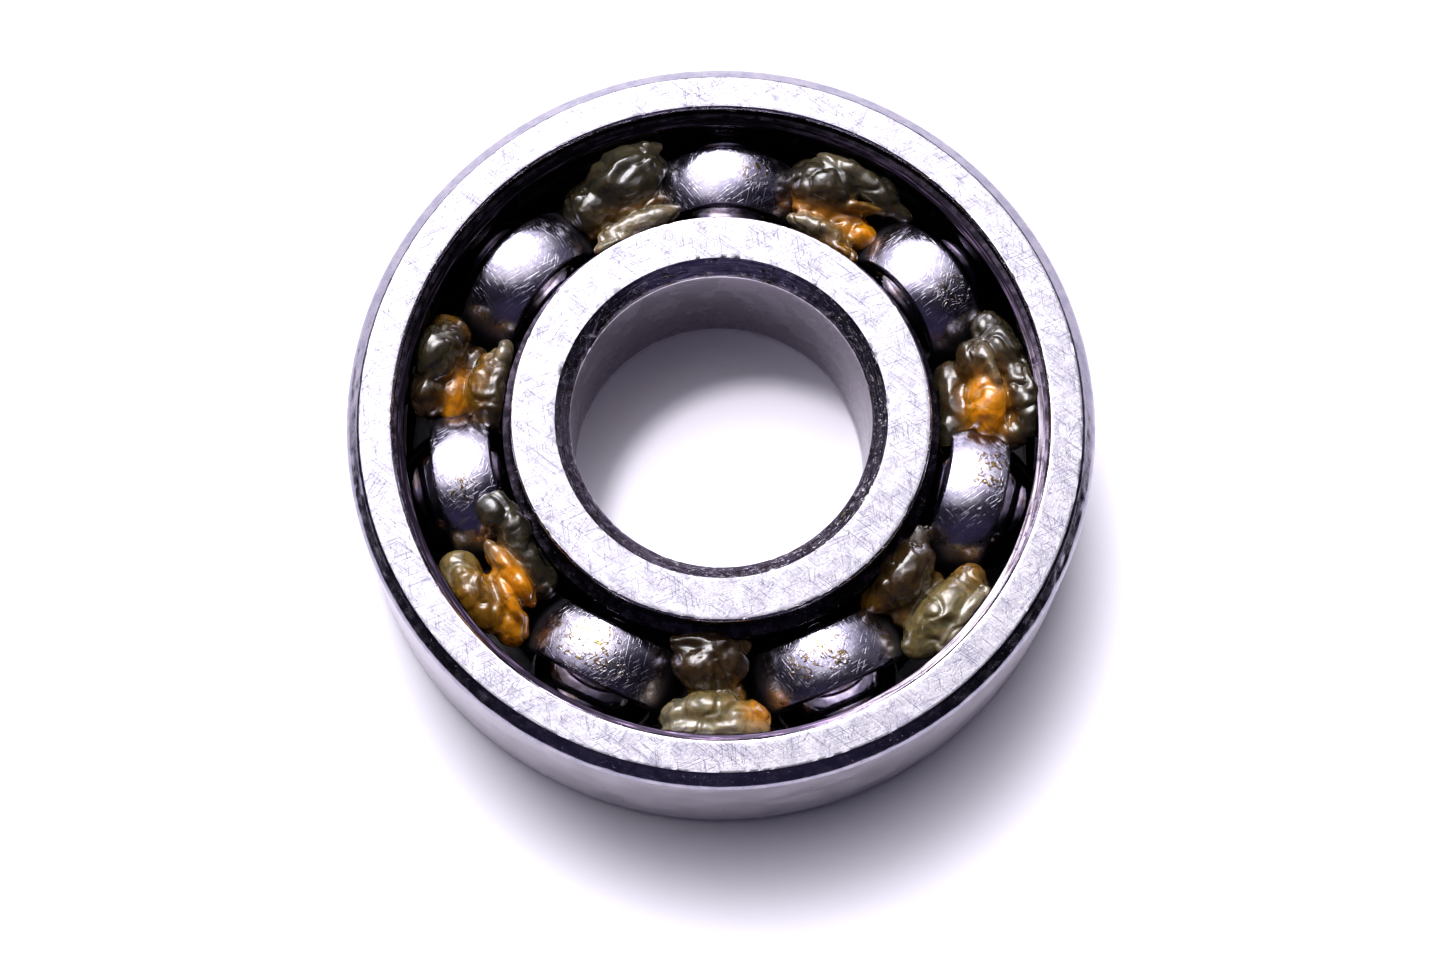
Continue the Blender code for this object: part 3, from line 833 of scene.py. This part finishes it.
# The packs, one on each web, and their lumps: radius, degrees from +X, height, then half sizes
# along the ring, across it and up, the twist in degrees, and the colour; some colours hold painted glow
# and painted sheen.
PACKS = [
    [  # at 65 degrees
        (23.2, 70.0, 4.0, 2.9, 2.2, 2.5, 0, OLIVE),
        (25.2, 67.5, 5.2, 2.6, 0.7, 1.0, 0, PALE_SHEEN),
        (25.0, 60.5, 4.6, 2.4, 1.2, 1.4, 0, OLIVE),
        (24.6, 56.0, 4.2, 2.0, 0.9, 1.0, 0, OLIVE),
        (22.6, 62.0, 4.6, 2.2, 0.5, 0.9, 20, AMBER),
        (21.2, 70.0, 3.4, 1.9, 1.2, 1.6, 0, ORANGE_GLOW),
        (21.2, 61.5, 3.0, 2.6, 1.4, 1.6, 0, ORANGE_GLOW),
        (19.5, 68.0, 4.6, 2.4, 0.9, 1.1, 0, PALE_SHEEN),
        (19.3, 63.0, 4.2, 1.6, 1.2, 1.2, 0, AMBER),
        (18.6, 59.0, 4.6, 1.5, 0.6, 1.1, 0, AMBER),
    ],
    [  # at 116 degrees
        (23.6, 112.0, 3.8, 3.4, 2.3, 2.6, 0, OLIVE),
        (22.8, 120.5, 3.0, 2.6, 2.2, 2.0, 0, OLIVE),
        (25.4, 111.0, 4.6, 3.0, 0.9, 1.2, 0, PALE_SHEEN),
        (21.2, 112.5, 3.0, 3.2, 1.3, 1.8, 0, AMBER),
        (20.8, 120.0, 2.6, 1.8, 1.2, 1.5, 0, AMBER),
        (19.2, 113.0, 4.6, 3.6, 0.9, 1.2, 0, PALE_SHEEN),
        (18.6, 121.0, 4.8, 2.0, 0.7, 1.0, 0, PALE_SHEEN),
        (18.8, 116.5, 4.2, 2.2, 1.0, 1.2, 0, AMBER),
    ],
    [  # at 168 degrees
        (24.5, 166.5, 4.3, 2.6, 1.9, 2.4, 0, OLIVE),
        (24.6, 161.5, 3.6, 1.4, 1.6, 1.5, 0, AMBER),
        (24.8, 174.5, 3.6, 2.1, 1.6, 1.8, 0, BROWN),
        (22.6, 173.5, 3.0, 2.4, 1.3, 1.7, 0, ORANGE_GLOW),
        (20.1, 172.0, 4.2, 2.8, 1.4, 2.0, 0, AMBER),
        (18.9, 173.5, 4.6, 2.6, 1.1, 1.8, 0, OLIVE),
        (19.4, 163.5, 4.4, 1.5, 0.8, 1.2, 0, PALE_SHEEN),
        (19.7, 179.0, 3.6, 1.3, 1.1, 1.3, 0, AMBER),
    ],
    [  # at 219 degrees
        (24.7, 218.0, 4.2, 3.2, 1.7, 2.2, 0, AMBER),
        (24.8, 212.5, 4.4, 1.8, 1.5, 1.6, 0, STRAW),
        (24.2, 226.0, 3.6, 1.7, 1.2, 1.6, 0, ORANGE_GLOW),
        (22.8, 222.0, 4.2, 2.6, 0.7, 2.0, -10, ORANGE_GLOW),
        (21.4, 218.5, 4.5, 2.9, 0.9, 2.2, 0, ORANGE_GLOW),
        (21.6, 213.5, 5.4, 1.5, 0.6, 0.9, 0, PALE_SHEEN),
        (19.6, 216.0, 4.2, 2.8, 1.4, 1.9, 0, OLIVE),
        (19.4, 222.0, 3.6, 1.8, 1.3, 1.6, 0, OLIVE),
        (19.2, 208.5, 5.2, 2.4, 1.3, 1.5, 0, OLIVE),
        (20.2, 203.5, 6.0, 1.6, 1.3, 1.0, 0, OLIVE),
    ],
    [  # at 271 degrees
        (24.2, 271.0, 4.0, 3.2, 1.7, 2.2, 0, STRAW),
        (25.6, 271.0, 4.4, 4.0, 1.0, 1.6, 0, PALE_SHEEN),
        (24.6, 277.5, 3.8, 1.6, 1.4, 1.6, 0, ORANGE_GLOW),
        (24.5, 264.5, 3.8, 1.6, 1.4, 1.6, 0, PALE_SHEEN),
        (22.3, 271.0, 3.0, 2.2, 1.2, 1.6, 0, AMBER),
        (20.0, 269.5, 4.0, 2.9, 2.2, 2.3, 0, BROWN),
        (18.4, 268.0, 4.8, 2.8, 1.0, 1.6, 0, BROWN),
        (18.6, 276.0, 4.0, 1.1, 1.0, 1.2, 0, AMBER),
    ],
    [  # at 322 degrees
        (19.6, 322.5, 4.4, 3.0, 2.1, 2.4, 0, BROWN),
        (19.4, 315.5, 3.6, 1.8, 1.5, 1.7, 0, AMBER),
        (18.8, 330.0, 4.2, 1.9, 1.2, 1.6, 0, BROWN),
        (21.6, 321.0, 3.0, 2.8, 1.2, 1.5, 0, AMBER),
        (24.2, 322.0, 4.0, 3.2, 2.0, 2.2, 0, STRAW),
        (24.4, 329.0, 3.8, 1.8, 1.5, 1.6, 0, AMBER),
        (25.8, 323.0, 4.9, 3.2, 0.8, 1.3, 0, PALE_SHEEN),
        (24.2, 315.5, 3.6, 1.8, 1.6, 1.8, 0, STRAW),
    ],
    [  # at 14 degrees
        (22.4, 8.5, 4.0, 2.9, 1.9, 2.4, 0, ORANGE_GLOW),
        (19.9, 10.0, 3.2, 3.2, 1.6, 1.7, 0, OLIVE),
        (19.0, 4.0, 3.0, 2.4, 1.0, 1.5, 0, OLIVE),
        (22.2, 17.0, 4.8, 2.0, 1.6, 1.9, 0, OLIVE),
        (23.0, 14.5, 6.0, 2.0, 0.4, 0.9, 8, PALE_SHEEN),
        (24.7, 9.0, 5.2, 2.8, 0.5, 1.2, 0, OLIVE),
        (25.6, 8.0, 5.0, 3.2, 1.2, 1.6, 0, OLIVE),
        (24.6, 19.0, 4.8, 2.4, 1.5, 1.6, 0, OLIVE),
        (24.2, 23.5, 4.2, 1.5, 1.3, 1.3, 0, OLIVE),
        (24.4, 2.0, 4.0, 1.4, 1.3, 1.4, 0, OLIVE),
    ],
]


def lump_matrix(lump, grow=1.0):
    """Puts a ball of radius 1 where a lump is, in its shape."""
    radius, degrees, height, along, across, tall, twist, _ = lump
    turn = math.radians(degrees)
    place = Matrix.Translation((radius * math.cos(turn), radius * math.sin(turn), height))
    spin = Matrix.Rotation(turn + math.radians(twist), 4, "Z")
    return place @ spin @ Matrix.Diagonal((across * grow, along * grow, tall * grow, 1))


def merged_lumps(lumps):
    """The lumps as one closed skin, from a voxel remesh and a light smoothing."""
    edit = bmesh.new()
    for lump in lumps:
        bmesh.ops.create_icosphere(edit, subdivisions=3, radius=1.0, matrix=lump_matrix(lump, LUMP_GROW))
    mesh = bpy.data.meshes.new("lumps")
    edit.to_mesh(mesh)
    edit.free()
    shape = bpy.data.objects.new("lumps", mesh)
    bpy.context.collection.objects.link(shape)
    remesh = shape.modifiers.new("skin", "REMESH")
    remesh.mode = "VOXEL"
    remesh.voxel_size = VOXEL
    soften = shape.modifiers.new("soften", "SMOOTH")
    soften.factor = 0.5
    soften.iterations = SOFTENING
    evaluated = shape.evaluated_get(bpy.context.evaluated_depsgraph_get())
    merged = bpy.data.meshes.new_from_object(evaluated)
    bpy.data.objects.remove(shape, do_unlink=True)
    bpy.data.meshes.remove(mesh)
    return merged


def per_vertex(mesh, field):
    """A mesh's co or normal, as one row for each vertex."""
    found = np.empty(len(mesh.vertices) * 3, np.float32)
    mesh.vertices.foreach_get(field, found)
    return found.reshape(-1, 3).astype(float)


def folds(points, seed):
    """Soft folds and hollows of worked grease, in millimetres."""
    shift = Vector((seed * 3.7, seed * 1.9, seed * 5.3))
    rise = np.empty(len(points))
    for index, point in enumerate(points):
        place = Vector(point) + shift
        warped = place + noise.noise_vector(place * 0.40) * 1.4
        swell = noise.fractal(warped * 0.42, 1.0, 2.0, 2)
        crease = math.exp(-((noise.noise(warped * 0.30) / 0.10) ** 2))
        rise[index] = 0.34 * swell - 0.16 * crease + 0.06
    return np.clip(rise, -0.5, 0.5)


def keep_in_gap(points):
    """Holds the grease between the rings, above their shoulders, and off the balls."""
    radius = np.hypot(points[:, 0], points[:, 1])
    height = points[:, 2]
    seat = [FACE_Z - 2.05, FACE_Z - 1.65]
    step = [FACE_Z - 2.65, FACE_Z - 2.2]
    upper = np.interp(height, seat, [OUTER_SHOULDER_R, SEAL_LIP_R])
    lower = np.interp(height, step, [INNER_SHOULDER_R, INNER_STEP_R])
    held = np.clip(radius, lower + GREASE_CLEAR, upper - GREASE_CLEAR)
    points[:, :2] *= (held / radius)[:, None]
    points[:, 2] = np.minimum(height, FACE_Z - GREASE_BELOW_FACE)
    nearest = BALL_R + GREASE_BALL_CLEAR
    for centre in BALL_CENTRES:
        away = points - np.array(centre)
        apart = np.linalg.norm(away, axis=1)
        near = apart < nearest
        points[near] = np.array(centre) + away[near] * (nearest / apart[near])[:, None]
    return points


def tint_points(points, lumps):
    """Each point's colour: the nearest lumps' colours, blended."""
    weights = []
    for lump in lumps:
        inside = np.array(lump_matrix(lump).inverted())
        local = points @ inside[:3, :3].T + inside[:3, 3]
        weights.append(1 / (np.linalg.norm(local, axis=1) ** 6 + 0.02))
    weights = np.array(weights)
    colours = np.array([lump[-1] for lump in lumps])
    return (weights.T @ colours) / weights.sum(0)[:, None]


def make_grease(material):
    """One pack on each web: its lumps, and a dark core that ties them to the web."""
    for number, lumps in enumerate(PACKS):
        web = math.degrees(web_angle(number)) % 360
        core = (21.8, web, 2.2, 2.1, 3.1, 1.3, 0, BROWN)
        lumps = [*lumps, core]
        mesh = merged_lumps(lumps)
        points = per_vertex(mesh, "co")
        tints = tint_points(points, lumps)
        points += per_vertex(mesh, "normal") * folds(points, number + 1)[:, None]
        points = keep_in_gap(points)
        mesh.vertices.foreach_set("co", (points * MM).astype(np.float32).ravel())
        layer = mesh.attributes.new("tint", "FLOAT_COLOR", "POINT")
        rgba = np.ones((len(points), 4), np.float32)
        rgba[:, :3] = tints
        layer.data.foreach_set("color", rgba.ravel())
        mesh.materials.clear()
        mesh.materials.append(material)
        mesh.update()
        mesh.shade_smooth()
        mesh.name = f"grease_{number + 1}_pack"
        pack = bpy.data.objects.new(mesh.name, mesh)
        bpy.context.collection.objects.link(pack)
        settle(pack, "cage", [f"grease_{number + 1}"])


# ---------------------------------------------------------------- studio

ROOM = (0.010, 0.009, 0.015)
# Each light is a round patch of sky: its middle, where it ends and where it is full, in degrees
# from its middle, and its colour
LIGHTS = [
    ((0.45, 0.80, 0.30), 60, 20, (0.16, 0.155, 0.185)),
    ((0.0, -0.95, 0.28), 55, 20, (0.045, 0.038, 0.080)),
    ((-0.25, 0.60, 0.76), 100, 40, (0.035, 0.033, 0.045)),
    ((-0.25, 0.60, 0.76), 56, 26, (1.55, 1.50, 1.60)),
    ((-0.25, 0.60, 0.76), 28, 6, (8.0, 7.9, 8.3)),
]
GROUND = (0.75, 0.73, 0.80)
BACKDROP = (0.92, 0.91, 0.95)


def make_floor():
    """White ground with a faint glow of its own, which keeps the shadow short beside the bearing
    and lights the front right of the floor inside the bore.
    """
    s = Shader("floor_white", (0.90, 0.89, 0.93), 0.5, 0.0)
    s.value("Emission Color", (1.0, 0.95, 1.08, 1.0))
    beside = s.spread(s.radius(), 30.0, 44.0, 0.0, 0.30)
    from_middle = s.vector("DISTANCE", s.mm, (4.0, -5.7, -FACE_Z))
    in_bore = s.spread(s.radius(), BORE_R + 0.1, BORE_R - 0.2)
    within = s.maths("MULTIPLY", s.spread(from_middle, 15.0, 12.0, 0.0, 0.42), in_bore)
    s.into(s.maths("ADD", beside, within), "Emission Strength")
    cloud = s.noise(0.004, 2.0, 0.5)
    s.into(s.mix(cloud, (0.90, 0.89, 0.94), (0.94, 0.93, 0.96)), "Base Color")
    half = 1500.0
    low = -FACE_Z
    verts = [(-half, -half, low), (half, -half, low), (half, half, low), (-half, half, low)]
    floor = add_piece("floor", verts, [[0, 1, 2, 3]], [s.material])


def make_world():
    """A broad soft light from the back left with a brighter middle, and faint fills round it,
    from the back right and from the front, in a dim violet room. The ground below is pale, and
    the floor hides it from above.
    """
    world = bpy.data.worlds.new("studio")
    bpy.context.scene.world = world
    world.use_nodes = True
    world.node_tree.nodes.clear()
    n = Nodes(world.node_tree)
    direction = n.new("TexCoord").outputs["Generated"]
    split = n.new("SeparateXYZ")
    n.link(direction, split.inputs[0])
    light = n.vector("MULTIPLY", n.spread(split.outputs["Z"], -0.03, -0.30), GROUND)
    light = n.vector("ADD", light, ROOM)
    for middle, outer_deg, inner_deg, colour in LIGHTS:
        facing = n.vector("DOT_PRODUCT", direction, Vector(middle).normalized())
        ends = (math.cos(math.radians(degrees)) for degrees in (outer_deg, inner_deg))
        light = n.vector("ADD", light, n.vector("MULTIPLY", n.spread(facing, *ends), colour))
    seen = n.new("LightPath").outputs["Is Camera Ray"]
    back = n.new("Background")
    n.link(n.mix(seen, light, BACKDROP), back.inputs["Color"])
    n.link(back.outputs[0], n.new("OutputWorld").inputs[0])


def make_camera():
    """From the front and high up, rolled a little."""
    elevation = math.radians(74.848)
    roll = math.radians(2.183)
    target = Vector((0.300, -5.613, FACE_Z))
    distance = 282.16
    forward = Vector((0, math.cos(elevation), -math.sin(elevation)))
    right = Vector((1, 0, 0))
    up = right.cross(forward)
    turned_right = right * math.cos(roll) + up * math.sin(roll)
    turned_up = up * math.cos(roll) - right * math.sin(roll)
    data = bpy.data.cameras.new("camera")
    data.sensor_fit = "HORIZONTAL"
    data.sensor_width = 36.0
    data.lens = 85.76
    data.clip_start = 0.001
    data.clip_end = 20.0
    camera = bpy.data.objects.new("camera", data)
    spin = Matrix((turned_right, turned_up, -forward)).transposed().to_4x4()
    camera.matrix_world = Matrix.Translation((target - forward * distance) * MM) @ spin
    bpy.context.collection.objects.link(camera)
    bpy.context.scene.camera = camera


def make_all():
    face, corner, chamfer = ground_face(), worn_corner(), bore_chamfer()
    inside = [chamfer, seal_groove(), raceway(), seal_seat()]
    outer_wall = ground_wall("ring_outside", (0.50, 0.47, 0.52), 0.34)
    # The bore has the same ground steel as the outside wall, painted much darker as shade inside the
    # bore.
    shaded_bore_wall = ground_wall("ring_bore_shaded", (0.29, 0.26, 0.31), 0.26)
    make_outer_ring([face, corner, outer_wall, *inside])
    make_inner_ring([face, corner, shaded_bore_wall, *inside])
    make_balls(ball_steel())
    pressed = pressed_steel()
    make_cage_half("cage_upper_pressed", "cage_upper", 1, pressed)
    make_cage_half("cage_lower_pressed", "cage_lower", -1, pressed)
    make_rivets(rivet_steel())
    make_grease(grease_material())
    make_floor()
    make_world()
    make_camera()
    bpy.context.scene.view_settings.view_transform = "Standard"
    bpy.context.scene.view_settings.look = "Medium High Contrast"


make_all()
